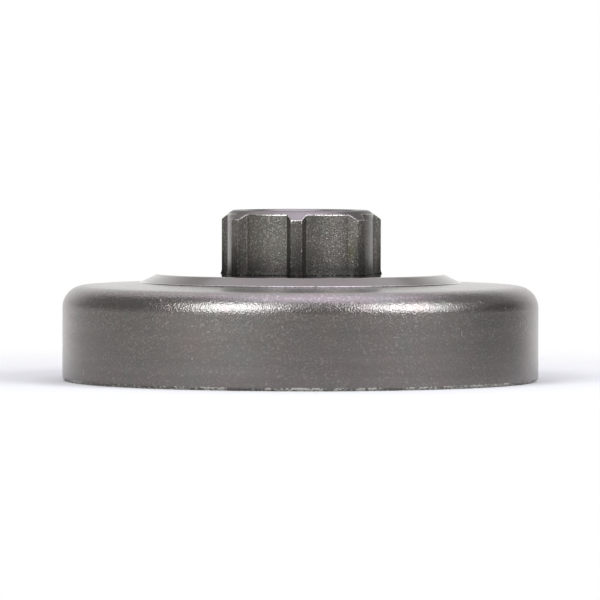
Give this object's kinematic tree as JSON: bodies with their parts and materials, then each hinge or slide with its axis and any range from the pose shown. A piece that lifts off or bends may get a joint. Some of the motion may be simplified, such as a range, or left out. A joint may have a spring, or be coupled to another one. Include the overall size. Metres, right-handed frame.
{
  "type": "chainsaw clutch drum",
  "caption": "Shallow round steel clutch drum with a rounded shoulder, a raised centre and a splined hub that carries a rim sprocket and runs on a needle cage.",
  "frame": {"origin": "centre of the drum's rim plane, on the turning axis", "axes": "+Z along the turning axis, from the open mouth towards the splined hub; one spline points to -Y"},
  "size_m": [0.0716, 0.0716, 0.0257],
  "materials": {
    "pressed_steel": "tumbled dark grey steel with a fine sparkle",
    "sintered_steel": "tumbled dark grey steel with a fine sparkle, a little coarser"
  },
  "bodies": {
    "root": {"drum_cup": "pressed_steel", "splined_hub": "sintered_steel"}
  },
  "joints": []
}
